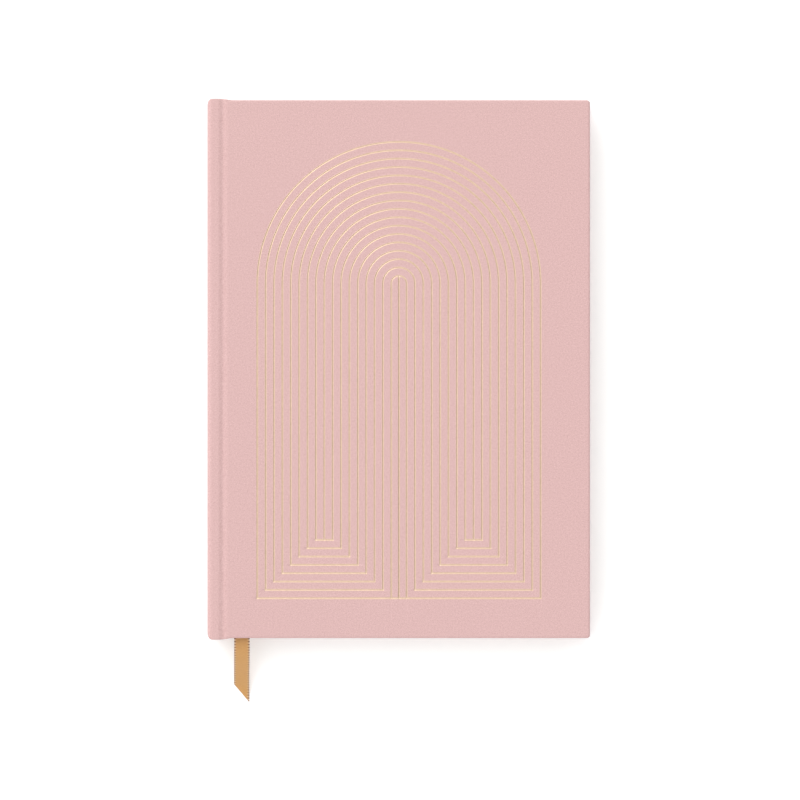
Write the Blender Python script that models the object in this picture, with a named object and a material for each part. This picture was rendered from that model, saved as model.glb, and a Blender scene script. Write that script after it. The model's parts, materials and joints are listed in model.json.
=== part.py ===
"""Case-bound guest book with a sewn text block and a ribbon marker, closed and lying on its back cover.

Metres, +Z up. The origin is under the middle of the closed book, +X runs from the spine to the fore edge
and +Y from the tail to the head. Distances called s are measured from the spine's outer face.
"""

import math

import bmesh
import bpy
from mathutils import Matrix, Vector

# ---- driving dimensions -------------------------------------------------------------------------
PAGE_WIDTH = 0.178
PAGE_HEIGHT = 0.254
FORE_SQUARE = 0.00325  # how far the covers reach past the pages' fore edge
HEAD_SQUARE = 0.00245  # how far the covers reach past the pages at head and tail
SPINE_RISE = 0.00075  # how far the spine stands past the covers at head and tail
BOARD_THICKNESS = 0.0025
CLOTH_THICKNESS = 0.0005
ENDPAPER_THICKNESS = 0.00025
SECTION_THICKNESS = 0.00175
SECTION_COUNT = 8
GAP = 0.00025  # between pieces that touch
RIBBON_ROOM = 0.00065  # extra gap where the ribbon lies between two sections

GROOVE_AT = 0.0076  # middle of the joint groove, from the spine face
GROOVE_WIDTH = 0.0052
GROOVE_DEPTH = 0.0010
SPINE_EDGE_RADIUS = 0.0025
SPINE_CORNER_RADIUS = 0.0024
FORE_CORNER_RADIUS = 0.001
SPINE_EASE_AT = 0.0056  # from the spine face, where its height starts to ease down to the boards' height
SPINE_EASE = 0.0072  # length of that ease
TURN_IN = 0.0035  # cloth seen around the pastedown

CARD_THICKNESS = 0.0005
LINING_THICKNESS = 0.0002
MULL_THICKNESS = 0.0002
MULL_EDGE = 0.012  # how far the mull stops short of the pages at head and tail
THREAD_RADIUS = 0.00015
THREAD_COUNT = 5
THREAD_EDGE = 0.027  # end of the pages to the middle of the first thread
BAND_DEPTH = 0.0018
BAND_RISE = 0.0016

RIBBON_WIDTH = 0.0076
RIBBON_THICKNESS = 0.0003
RIBBON_EXIT_AT = 0.0165  # middle of the ribbon at the tail, from the spine face
RIBBON_SHOWS = 0.0321  # how far the ribbon's point reaches past the boards
RIBBON_CUT = 0.0091  # how much shorter the side near the spine is
ARC_STEPS = 6

# ---- levels and places that follow --------------------------------------------------------------
GAPS_IN_COVER = 4
COVER_STACK = CLOTH_THICKNESS + BOARD_THICKNESS + 2 * ENDPAPER_THICKNESS + GAPS_IN_COVER * GAP
SECTION_PITCH = SECTION_THICKNESS + GAP
BLOCK_THICKNESS = SECTION_COUNT * SECTION_PITCH - GAP + RIBBON_ROOM
THICKNESS = 2 * COVER_STACK + BLOCK_THICKNESS
MIDDLE = THICKNESS / 2

BOARD_START = GROOVE_AT + GROOVE_WIDTH / 2 + GAP
HINGE_AT = -GAP  # every fold line runs just outside the spine face
HINGE_LEVEL = MIDDLE - CLOTH_THICKNESS - BOARD_THICKNESS - ENDPAPER_THICKNESS - 2.5 * GAP
CARD_AT = CLOTH_THICKNESS + GAP
LINING_AT = CARD_AT + CARD_THICKNESS + GAP
MULL_AT = LINING_AT + LINING_THICKNESS + GAP
THREAD_AT = MULL_AT + MULL_THICKNESS + GAP + THREAD_RADIUS
BLOCK_START = THREAD_AT + THREAD_RADIUS + GAP

COVER_WIDTH = BLOCK_START + PAGE_WIDTH + FORE_SQUARE  # spine face to fore edge of the boards
BOARD_HEIGHT = PAGE_HEIGHT + 2 * HEAD_SQUARE
SPINE_HEIGHT = BOARD_HEIGHT + 2 * SPINE_RISE
THREAD_SPACING = (PAGE_HEIGHT - 2 * THREAD_EDGE) / (THREAD_COUNT - 1)

SECTION_2_TOP = COVER_STACK + (SECTION_COUNT - 1) * SECTION_PITCH - GAP
RIBBON_LEVEL = SECTION_2_TOP + GAP / 2 + RIBBON_THICKNESS / 2
FRONT_FOLD_LEVEL = SECTION_2_TOP + GAP + RIBBON_ROOM - GAP / 4  # just under section_1
BACK_FOLD_LEVEL = COVER_STACK + SECTION_THICKNESS + GAP / 4  # just over the last section
LEAF_HINGE_LEVEL = MIDDLE - COVER_STACK + GAP / 2
RIBBON_HINGE_Y = -BOARD_HEIGHT / 2 - 2 * GAP


def x_at(distance):
    """World x of a distance from the spine face."""
    return distance - COVER_WIDTH / 2


# ---- scene --------------------------------------------------------------------------------------
def clear_scene():
    for item in list(bpy.data.objects):
        bpy.data.objects.remove(item, do_unlink=True)


def new_collection(name):
    made = bpy.data.collections.new(name)
    bpy.context.scene.collection.children.link(made)
    return made


def new_material(name, color, roughness, metallic=0.0):
    made = bpy.data.materials.new(name)
    made.use_nodes = True
    shader = made.node_tree.nodes["Principled BSDF"]
    shader.inputs["Base Color"].default_value = (*color, 1.0)
    shader.inputs["Roughness"].default_value = roughness
    shader.inputs["Metallic"].default_value = metallic
    made.diffuse_color = (*color, 1.0)
    return made


def new_hinge(name, parent, distance, level, y=0.0):
    """An empty on a joint's axis."""
    hinge = bpy.data.objects.new(name, None)
    PARTS.objects.link(hinge)
    hinge.empty_display_size = 0.01
    here = Vector((x_at(distance), y, level))
    hinge.location = here
    if parent is not None:
        hinge.parent = parent
        hinge.location = here - world_place(parent)
    return hinge


def world_place(item):
    place = Vector(item.location)
    while item.parent is not None:
        item = item.parent
        place += item.location
    return place


def finish_piece(name, shape, body, material):
    """An object from a bmesh in world coordinates, with its origin on its body's hinge."""
    bmesh.ops.recalc_face_normals(shape, faces=shape.faces)
    bmesh.ops.transform(shape, matrix=Matrix.Translation(-world_place(body)), verts=shape.verts)
    mesh = bpy.data.meshes.new(name)
    shape.to_mesh(mesh)
    shape.free()
    mesh.materials.append(material)
    piece = bpy.data.objects.new(name, mesh)
    piece.parent = body
    PARTS.objects.link(piece)
    return piece


# ---- shapes -------------------------------------------------------------------------------------
def box(distances, widths, levels):
    """A bmesh box between two distances from the spine, two y values and two levels."""
    low = Vector((x_at(distances[0]), widths[0], min(levels)))
    high = Vector((x_at(distances[1]), widths[1], max(levels)))
    shape = bmesh.new()
    size = high - low
    matrix = Matrix.Translation((low + high) / 2) @ Matrix.Diagonal((*size, 1.0))
    bmesh.ops.create_cube(shape, size=1.0, matrix=matrix)
    return shape


def extruded(outline, axis, low, high):
    """A bmesh prism of a flat outline: along Y from (x, z) points, or along Z from (x, y) points."""
    curve = bpy.data.curves.new("outline", "CURVE")
    curve.dimensions = "2D"
    curve.fill_mode = "BOTH"
    curve.extrude = (high - low) / 2
    line = curve.splines.new("POLY")
    line.points.add(len(outline) - 1)
    for point, (across, up) in zip(line.points, outline):
        point.co = (across, up, 0.0, 1.0)
    line.use_cyclic_u = True
    guide = bpy.data.objects.new("outline", curve)
    CUTTERS.objects.link(guide)
    bpy.context.view_layer.update()
    mesh = bpy.data.meshes.new_from_object(guide.evaluated_get(bpy.context.evaluated_depsgraph_get()))
    bpy.data.objects.remove(guide, do_unlink=True)
    shape = bmesh.new()
    shape.from_mesh(mesh)
    bpy.data.meshes.remove(mesh)
    bmesh.ops.remove_doubles(shape, verts=shape.verts, dist=0.00002)
    middle = (low + high) / 2
    if axis == "Y":
        turn = Matrix.Translation((0, middle, 0)) @ Matrix.Rotation(math.pi / 2, 4, "X")
    else:
        turn = Matrix.Translation((0, 0, middle))
    bmesh.ops.transform(shape, matrix=turn, verts=shape.verts)
    bmesh.ops.recalc_face_normals(shape, faces=shape.faces)
    return shape


def combine(shape, other, operation):
    """The Boolean of two bmeshes, as a new bmesh."""
    made = []
    for source in (shape, other):
        mesh = bpy.data.meshes.new("cutter")
        source.to_mesh(mesh)
        source.free()
        item = bpy.data.objects.new("cutter", mesh)
        item.display_type = "WIRE"
        item.hide_render = True
        CUTTERS.objects.link(item)
        made.append(item)
    cut = made[0].modifiers.new("cut", "BOOLEAN")
    cut.object = made[1]
    cut.operation = operation
    bpy.context.view_layer.update()
    result = bpy.data.meshes.new_from_object(
        made[0].evaluated_get(bpy.context.evaluated_depsgraph_get())
    )
    out = bmesh.new()
    out.from_mesh(result)
    bpy.data.meshes.remove(result)
    for item in made:
        bpy.data.objects.remove(item, do_unlink=True)
    bmesh.ops.remove_doubles(out, verts=out.verts, dist=0.000005)
    bmesh.ops.dissolve_degenerate(out, edges=out.edges, dist=0.000005)
    return out


def arc(centre, radius, start, end, steps=ARC_STEPS):
    """Points on an arc, angles in degrees."""
    angles = [math.radians(start + (end - start) * k / steps) for k in range(steps + 1)]
    return [(centre[0] + radius * math.cos(a), centre[1] + radius * math.sin(a)) for a in angles]


# ---- case ---------------------------------------------------------------------------------------
def plan_outline():
    """The case seen from above: round corners, and the spine a little taller than the boards."""
    left, right = x_at(0), x_at(COVER_WIDTH)
    tall, low = SPINE_HEIGHT / 2, BOARD_HEIGHT / 2
    corner, fore = SPINE_CORNER_RADIUS, FORE_CORNER_RADIUS
    ease_from = x_at(SPINE_EASE_AT)
    ease = [
        (ease_from + SPINE_EASE * k / ARC_STEPS, low + (tall - low) * (1 + math.cos(math.pi * k / ARC_STEPS)) / 2)
        for k in range(ARC_STEPS + 1)
    ]
    half = arc((left + corner, tall - corner), corner, 180, 90)
    half += ease
    half += arc((right - fore, low - fore), fore, 90, 0)
    return half + [(x, -y) for x, y in reversed(half)]


def groove_drop(distance):
    """How far the cloth dips at a distance from the spine face: one cosine wave."""
    away = abs(distance - GROOVE_AT) / (GROOVE_WIDTH / 2)
    return GROOVE_DEPTH * (1 + math.cos(math.pi * away)) / 2 if away < 1 else 0.0


def cloth_profile(inset, end):
    """Cloth from the hinge level up round the spine edge, over the shoulder and groove, to end."""
    top = MIDDLE - inset
    radius = SPINE_EDGE_RADIUS - inset
    points = arc((SPINE_EDGE_RADIUS, MIDDLE - SPINE_EDGE_RADIUS), radius, 180, 90)
    count = 10
    first = GROOVE_AT - GROOVE_WIDTH / 2
    for k in range(count + 1):
        distance = first + GROOVE_WIDTH * k / count
        points.append((distance, top - groove_drop(distance)))
    return points + [(end, top)]


def case_side(side):
    """Cloth of one cover, side +1 at the front and -1 at the back, as a shell open on the inside."""
    foot = HINGE_LEVEL + GAP / 2

    def flip(points):
        return [(x_at(s), MIDDLE + side * h) for s, h in points]

    reach = SPINE_HEIGHT
    outer = [(0.0, foot)] + cloth_profile(0.0, COVER_WIDTH) + [(COVER_WIDTH, foot)]
    shape = extruded(flip(outer), "Y", -reach / 2, reach / 2)
    below, above = sorted((MIDDLE, MIDDLE + side * 2 * MIDDLE))
    shape = combine(shape, extruded(plan_outline(), "Z", below - 0.001, above + 0.001), "INTERSECT")
    inner = cloth_profile(CLOTH_THICKNESS, BOARD_START)
    inner = [(CLOTH_THICKNESS, foot - 0.002)] + inner + [(BOARD_START, foot - 0.002)]
    shape = combine(shape, extruded(flip(inner), "Y", -reach, reach), "DIFFERENCE")
    ceiling = MIDDLE + side * (MIDDLE - CLOTH_THICKNESS)
    lip_top = MIDDLE + side * (foot + ENDPAPER_THICKNESS)
    half_wall = BOARD_HEIGHT / 2 - CLOTH_THICKNESS
    half_lip = BOARD_HEIGHT / 2 - TURN_IN
    room = box((BOARD_START - GAP, COVER_WIDTH - CLOTH_THICKNESS), (-half_wall, half_wall), (lip_top, ceiling))
    shape = combine(shape, room, "DIFFERENCE")
    mouth_levels = (MIDDLE + side * (foot - 0.001), MIDDLE + side * (foot + ENDPAPER_THICKNESS + GAP / 2))
    mouth = box((BOARD_START - GAP / 2, COVER_WIDTH - TURN_IN), (-half_lip, half_lip), mouth_levels)
    return combine(shape, mouth, "DIFFERENCE")


def make_cover(name, side, body, flyleaf_body):
    """One cover: cloth, board and pastedown, and the flyleaf that faces it."""
    finish_piece(f"{name}_cloth", case_side(side), body, CLOTH)
    outer = MIDDLE - CLOTH_THICKNESS - GAP
    edge = BOARD_HEIGHT / 2 - CLOTH_THICKNESS - GAP
    levels = [MIDDLE + side * (outer - BOARD_THICKNESS), MIDDLE + side * outer]
    board = box((BOARD_START, COVER_WIDTH - CLOTH_THICKNESS - GAP), (-edge, edge), levels)
    finish_piece(f"{name}_board", board, body, BOARD)
    half = BOARD_HEIGHT / 2 - TURN_IN - GAP
    face = HINGE_LEVEL + GAP / 2
    levels = [MIDDLE + side * face, MIDDLE + side * (face + ENDPAPER_THICKNESS)]
    sheet = box((BLOCK_START, COVER_WIDTH - TURN_IN - GAP), (-half, half), levels)
    finish_piece(f"{name}_pastedown", sheet, body, PAPER)
    face = HINGE_LEVEL - GAP / 2
    levels = [MIDDLE + side * (face - ENDPAPER_THICKNESS), MIDDLE + side * face]
    ends = (-PAGE_HEIGHT / 2, PAGE_HEIGHT / 2)
    sheet = box((BLOCK_START, BLOCK_START + PAGE_WIDTH), ends, levels)
    finish_piece(f"{name}_flyleaf", sheet, flyleaf_body, PAPER)


def make_spine(body):
    """The flat layers of the spine between the two cover hinges, outermost first."""
    top = HINGE_LEVEL - GAP / 2
    outline = [(x, y) for x, y in plan_outline()]
    strip = extruded(outline, "Z", MIDDLE - top, MIDDLE + top)
    keep = box((-0.001, CLOTH_THICKNESS), (-SPINE_HEIGHT, SPINE_HEIGHT), (-THICKNESS, 2 * THICKNESS))
    finish_piece("spine_cloth", combine(strip, keep, "INTERSECT"), body, CLOTH)
    levels = (MIDDLE - top, MIDDLE + top)
    half = BOARD_HEIGHT / 2 - GAP
    card = box((CARD_AT, CARD_AT + CARD_THICKNESS), (-half, half), levels)
    finish_piece("spine_card", card, body, BOARD)
    half = PAGE_HEIGHT / 2
    levels = (COVER_STACK, THICKNESS - COVER_STACK)
    lining = box((LINING_AT, LINING_AT + LINING_THICKNESS), (-half, half), levels)
    finish_piece("spine_lining", lining, body, PAPER)
    half = PAGE_HEIGHT / 2 - MULL_EDGE
    mull = box((MULL_AT, MULL_AT + MULL_THICKNESS), (-half, half), levels)
    finish_piece("mull", mull, body, MULL)


def make_bands(body):
    """Head and tail bands: a round cord along the block's spine edge at each end."""
    radius = BAND_RISE / 2
    for name, end in (("head_band", 1), ("tail_band", -1)):
        y = end * (PAGE_HEIGHT / 2 + GAP + radius)
        shape = bmesh.new()
        place = Matrix.Translation((x_at(BLOCK_START + BAND_DEPTH / 2), y, MIDDLE))
        place @= Matrix.Diagonal((BAND_DEPTH / BAND_RISE, 1.0, 1.0, 1.0))
        bmesh.ops.create_cone(
            shape,
            cap_ends=True,
            segments=16,
            radius1=radius,
            radius2=radius,
            depth=BLOCK_THICKNESS,
            matrix=place,
        )
        finish_piece(name, shape, body, BAND)


def make_threads(body):
    """Sewing thread: one run across the section folds at each station."""
    length = BLOCK_THICKNESS - SECTION_THICKNESS
    for number in range(THREAD_COUNT):
        shape = bmesh.new()
        y = (number - (THREAD_COUNT - 1) / 2) * THREAD_SPACING
        place = Matrix.Translation((x_at(THREAD_AT), y, MIDDLE))
        bmesh.ops.create_cone(
            shape,
            cap_ends=True,
            segments=8,
            radius1=THREAD_RADIUS,
            radius2=THREAD_RADIUS,
            depth=length,
            matrix=place,
        )
        finish_piece(f"sewing_thread_{number + 1}", shape, body, THREAD)


# ---- text block ---------------------------------------------------------------------------------
def make_sections(bodies):
    """Folded sections, section_1 under the front cover and the last on the back cover."""
    half = PAGE_HEIGHT / 2
    for number in range(SECTION_COUNT):
        bottom = COVER_STACK + (SECTION_COUNT - 1 - number) * SECTION_PITCH
        bottom += RIBBON_ROOM if number == 0 else 0.0
        levels = (bottom, bottom + SECTION_THICKNESS)
        shape = box((BLOCK_START, BLOCK_START + PAGE_WIDTH), (-half, half), levels)
        fold = [e for e in shape.edges if all(v.co.x < x_at(BLOCK_START + GAP) for v in e.verts)]
        fold = [e for e in fold if abs(e.verts[0].co.y - e.verts[1].co.y) > half]
        bmesh.ops.bevel(
            shape, geom=fold, offset=SECTION_THICKNESS * 0.45, segments=4, profile=0.5, affect="EDGES"
        )
        body = bodies["front"] if number == 0 else bodies["core"]
        body = bodies["back"] if number == SECTION_COUNT - 1 else body
        finish_piece(f"section_{number + 1}", shape, body, PAPER)


# ---- ribbon -------------------------------------------------------------------------------------
def ribbon_drop(share):
    """Level of the free ribbon at a share of its reach: it leaves flat and comes down to the table."""
    high = RIBBON_LEVEL
    low = RIBBON_THICKNESS
    ease = share * share * (3 - 2 * share)
    return high + (low - high) * ease


def make_ribbon(body, tail_body):
    """The marker inside the book, and its free end, which bends down to the table."""
    side = RIBBON_WIDTH / 2
    half = PAGE_HEIGHT / 2
    start = x_at(BLOCK_START + side + 2 * GAP)
    end = x_at(RIBBON_EXIT_AT)
    straight = -half + RIBBON_WIDTH * 3
    plan = [
        (start - side, half),
        (end - side, straight),
        (end - side, RIBBON_HINGE_Y + GAP / 2),
        (end + side, RIBBON_HINGE_Y + GAP / 2),
        (end + side, straight),
        (start + side, half),
    ]
    low = RIBBON_LEVEL - RIBBON_THICKNESS / 2
    shape = extruded(plan, "Z", low, low + RIBBON_THICKNESS)
    finish_piece("ribbon_marker", shape, body, RIBBON)

    reach = RIBBON_SHOWS - (-RIBBON_HINGE_Y - BOARD_HEIGHT / 2) - GAP / 2
    steps = 16
    line = []
    for k in range(steps + 1):
        share = k / steps
        line.append(Vector((RIBBON_HINGE_Y - GAP / 2 - reach * share, ribbon_drop(share))))
    upper, lower = [], []
    for k, point in enumerate(line):
        along = line[min(k + 1, steps)] - line[max(k - 1, 0)]
        normal = Vector((along.y, -along.x)).normalized() * RIBBON_THICKNESS / 2
        upper.append(point + normal)
        lower.append(point - normal)
    outline = [(p.x, p.y) for p in upper + lower[::-1]]
    shape = extruded(outline, "Y", -side, side)
    turn = Matrix.Rotation(math.pi / 2, 4, "Z")
    bmesh.ops.transform(shape, matrix=Matrix.Translation((end, 0, 0)) @ turn, verts=shape.verts)
    point_y = -BOARD_HEIGHT / 2 - RIBBON_SHOWS
    cut = [
        (end - side - GAP, point_y - 0.001),
        (end - side - GAP, point_y + RIBBON_CUT + GAP),
        (end + side, point_y + GAP),
        (end + side + GAP, point_y - 0.001),
    ]
    shape = combine(shape, extruded(cut, "Z", -0.01, THICKNESS), "DIFFERENCE")
    finish_piece("ribbon_tail", shape, tail_body, RIBBON)


# ---- build --------------------------------------------------------------------------------------
clear_scene()
PARTS = new_collection("guest_book")
CUTTERS = new_collection("guest_book_cutters")

CLOTH = new_material("rose_cloth", (0.78, 0.52, 0.51), 0.85)
BOARD = new_material("greyboard", (0.42, 0.40, 0.36), 0.9)
PAPER = new_material("ivory_paper", (0.86, 0.83, 0.76), 0.8)
MULL = new_material("mull", (0.80, 0.77, 0.68), 0.9)
THREAD = new_material("linen_thread", (0.85, 0.82, 0.74), 0.8)
BAND = new_material("band_cord", (0.82, 0.62, 0.58), 0.7)
RIBBON = new_material("gold_satin", (0.66, 0.37, 0.14), 0.4)

core = new_hinge("core", None, COVER_WIDTH / 2, 0.0)
front_pages = new_hinge("front_section_turn", core, HINGE_AT, FRONT_FOLD_LEVEL)
back_pages = new_hinge("back_section_turn", core, HINGE_AT, BACK_FOLD_LEVEL)
front_cover = new_hinge("front_cover_hinge", front_pages, HINGE_AT, MIDDLE + HINGE_LEVEL)
back_cover = new_hinge("back_cover_hinge", back_pages, HINGE_AT, MIDDLE - HINGE_LEVEL)
front_leaf = new_hinge("front_flyleaf_lift", front_pages, HINGE_AT, MIDDLE + LEAF_HINGE_LEVEL)
back_leaf = new_hinge("back_flyleaf_lift", back_pages, HINGE_AT, MIDDLE - LEAF_HINGE_LEVEL)
ribbon_end = new_hinge("ribbon_tail_lift", core, RIBBON_EXIT_AT, RIBBON_LEVEL, RIBBON_HINGE_Y)

make_cover("front", 1, front_cover, front_leaf)
make_cover("back", -1, back_cover, back_leaf)
make_spine(core)
make_bands(core)
make_threads(core)
make_sections({"core": core, "front": front_pages, "back": back_pages})
make_ribbon(core, ribbon_end)
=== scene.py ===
import json
import math

import bmesh
import bpy
import numpy as np
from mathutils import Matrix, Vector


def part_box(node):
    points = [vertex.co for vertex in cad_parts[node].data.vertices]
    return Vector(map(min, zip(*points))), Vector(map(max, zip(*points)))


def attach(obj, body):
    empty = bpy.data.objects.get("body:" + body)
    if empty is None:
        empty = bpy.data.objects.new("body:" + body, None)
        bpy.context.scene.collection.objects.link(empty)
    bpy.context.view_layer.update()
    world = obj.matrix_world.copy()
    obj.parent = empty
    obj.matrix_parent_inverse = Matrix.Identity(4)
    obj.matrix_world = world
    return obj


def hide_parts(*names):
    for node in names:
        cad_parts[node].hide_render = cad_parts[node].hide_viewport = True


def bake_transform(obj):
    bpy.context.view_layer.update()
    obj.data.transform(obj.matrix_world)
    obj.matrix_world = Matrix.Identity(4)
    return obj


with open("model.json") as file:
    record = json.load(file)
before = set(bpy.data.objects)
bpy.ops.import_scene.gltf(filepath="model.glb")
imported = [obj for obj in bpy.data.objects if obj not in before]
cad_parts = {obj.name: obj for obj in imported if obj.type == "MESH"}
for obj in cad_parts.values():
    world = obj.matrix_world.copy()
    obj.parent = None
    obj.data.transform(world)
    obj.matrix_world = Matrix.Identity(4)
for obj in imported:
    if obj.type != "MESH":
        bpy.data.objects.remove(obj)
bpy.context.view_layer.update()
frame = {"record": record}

mm = 0.001

# places read from the frame: s is the distance from the spine face, in metres
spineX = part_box("spine_cloth")[0][0]
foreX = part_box("front_cloth")[1][0]
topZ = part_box("front_cloth")[1][2]
midZ = topZ / 2
boardHalf = 129.45 * mm  # half the cloth's height over the boards
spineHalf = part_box("front_cloth")[1][1]
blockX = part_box("section_2")[0][0]
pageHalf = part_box("section_2")[1][1]
jointPlace = {j["name"]: j["pos_m"] for j in frame["record"]["behaviour"]["joints"]}
frontFold = jointPlace["front_section_turn"][2]
backFold = jointPlace["back_section_turn"][2]
frontHinge = jointPlace["front_cover_hinge"][2]
backHinge = jointPlace["back_cover_hinge"][2]


# camera
view = {"middle": (0.67 * mm, -14.84 * mm), "width": 384.9 * mm, "away": 2.6}


def makeCamera():
    camera = bpy.data.objects.new("camera", bpy.data.cameras.new("camera"))
    camera.data.sensor_width = 36
    camera.data.lens = 36 * view["away"] / view["width"]
    camera.data.clip_end = 20
    camera.location = (*view["middle"], topZ + view["away"])
    bpy.context.scene.collection.objects.link(camera)
    bpy.context.scene.camera = camera


makeCamera()


# ribbon route, from the glue at the head of the spine to the cut point
ribbon = {
    "width": 7.6 * mm, "thick": 0.22 * mm, "exitX": -75.6 * mm, "level": 18.525 * mm,
    "hingeY": -129.95 * mm, "reach": 31.6 * mm, "cut": 9.1 * mm, "picot": 1.47 * mm, "tableZ": 0.3 * mm,
    "drift": -0.7 * mm, "headGap": 1 * mm, "settled": 30 * mm, "scallop": 0.18 * mm,
}


def ribbonRoute():
    # inside: straight down the pages, sliding over from the gutter with a smoothstep; outside: level first,
    # then a smoothstep fall to the table
    inside = np.linspace(pageHalf - ribbon["headGap"], ribbon["hingeY"], 90)
    share = np.clip((pageHalf - inside) / (2 * pageHalf - ribbon["settled"]), 0, 1)
    ease = share * share * (3 - 2 * share)
    startX = blockX + ribbon["width"] / 2 + 0.6 * mm
    x = startX + (ribbon["exitX"] - startX) * ease
    run = np.linspace(0, 1, 60)[1:]
    fall = run * run * (3 - 2 * run)
    y = ribbon["hingeY"] - ribbon["reach"] * run
    z = ribbon["level"] + (ribbon["tableZ"] - ribbon["level"]) * fall
    first = np.stack([x, inside, np.full_like(inside, ribbon["level"])], 1)
    return np.vstack([first, np.stack([ribbon["exitX"] + ribbon["drift"] * fall, y, z], 1)])


# mesh tools
def gridFaces(rows, cols, closed=False):
    # quads of a grid stored row by row; closed joins the last column to the first
    r = np.arange(rows - 1)[:, None]
    c = np.arange(cols if closed else cols - 1)[None, :]
    a = r * cols + c
    b = r * cols + (c + 1) % cols
    return np.stack([a, b, b + cols, a + cols], -1).reshape(-1, 4)


def buildMesh(name, verts, faces):
    mesh = bpy.data.meshes.new(name)
    mesh.vertices.add(len(verts))
    mesh.vertices.foreach_set("co", np.asarray(verts, np.float32).ravel())
    mesh.loops.add(faces.size)
    mesh.loops.foreach_set("vertex_index", faces.astype(np.int32).ravel())
    mesh.polygons.add(len(faces))
    mesh.polygons.foreach_set("loop_start", np.arange(0, faces.size, faces.shape[1], dtype=np.int32))
    mesh.update(calc_edges=True)
    mesh.validate()
    return mesh


def boxOf(node):
    # a node's lowest and highest corners as arrays
    return (np.array(corner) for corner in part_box(node))


def joinParts(parts):
    # stacks (verts, faces) pairs into one pair
    verts, faces, start = [], [], 0
    for v, f in parts:
        verts.append(v)
        faces.append(f + start)
        start += len(v)
    return np.vstack(verts), np.vstack(faces)


def addPiece(name, parts, material, weldAt=0.0, outward=None, smoothAngle=35):
    # one object from its parts: welded where asked, and turned so that its faces point along outward
    verts, faces = joinParts(parts)
    mesh = buildMesh(name, verts, faces)
    if weldAt > 0 or outward is not None:
        shape = bmesh.new()
        shape.from_mesh(mesh)
        if weldAt > 0:
            bmesh.ops.remove_doubles(shape, verts=shape.verts, dist=weldAt)
            bmesh.ops.dissolve_degenerate(shape, edges=shape.edges, dist=weldAt)
        if outward is not None:
            bmesh.ops.recalc_face_normals(shape, faces=shape.faces)
            flow = sum(f.normal.dot(outward) * f.calc_area() for f in shape.faces)
            if flow < 0:
                bmesh.ops.reverse_faces(shape, faces=shape.faces)
        shape.to_mesh(mesh)
        shape.free()
    mesh.shade_smooth()
    mesh.set_sharp_from_angle(angle=math.radians(smoothAngle))
    mesh.materials.append(material)
    piece = bpy.data.objects.new(name, mesh)
    bpy.context.scene.collection.objects.link(piece)
    return piece


def slab(path, thick, ends):
    # a sheet of even thickness that follows a path of (x, z) points between two y values: both faces,
    # both long edges and both ends, as quads; each side is the path moved half a thickness along its normal
    path = np.asarray(path, float)
    along = np.gradient(path, axis=0)
    normal = np.stack([-along[:, 1], along[:, 0]], 1)
    normal /= np.maximum(np.linalg.norm(normal, axis=1), 1e-12)[:, None]
    low, high = path - normal * thick / 2, path + normal * thick / 2
    n = len(path)
    loop = np.vstack([low, high[::-1]])
    y = np.asarray(ends, float)
    verts = np.stack([
        np.tile(loop[:, 0], len(y)), np.repeat(y, 2 * n), np.tile(loop[:, 1], len(y)),
    ], 1)
    sides = gridFaces(len(y), 2 * n, closed=True)
    k = np.arange(n - 1)
    cap = np.stack([k, 2 * n - 1 - k, 2 * n - 2 - k, k + 1], 1)
    last = cap[:, ::-1] + (len(y) - 1) * 2 * n
    return verts, np.vstack([sides, cap, last])


def closeEnds(piece):
    # fills the open ends of a tube and turns its faces outwards
    shape = bmesh.new()
    shape.from_mesh(piece.data)
    bmesh.ops.holes_fill(shape, edges=[e for e in shape.edges if e.is_boundary])
    bmesh.ops.recalc_face_normals(shape, faces=shape.faces)
    shape.to_mesh(piece.data)
    shape.free()


def thicken(piece, thick):
    wall = piece.modifiers.new("thickness", "SOLIDIFY")
    wall.thickness = thick
    wall.offset = -1
    wall.use_even_offset = False


# shader groups
def newGroup(name, inputs, outputs):
    group = bpy.data.node_groups.new(name, "ShaderNodeTree")
    for label, kind, value in inputs:
        made = group.interface.new_socket(label, in_out="INPUT", socket_type=kind)
        made.default_value = value
    for label, kind in outputs:
        group.interface.new_socket(label, in_out="OUTPUT", socket_type=kind)
    return group, group.nodes.new("NodeGroupInput"), group.nodes.new("NodeGroupOutput")


def mathNode(tree, kind, a, b=None):
    node = tree.nodes.new("ShaderNodeMath")
    node.operation = kind
    for index, value in enumerate((a, b)):
        if value is None:
            continue
        if isinstance(value, (int, float)):
            node.inputs[index].default_value = value
        else:
            tree.links.new(value, node.inputs[index])
    return node.outputs[0]


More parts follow.
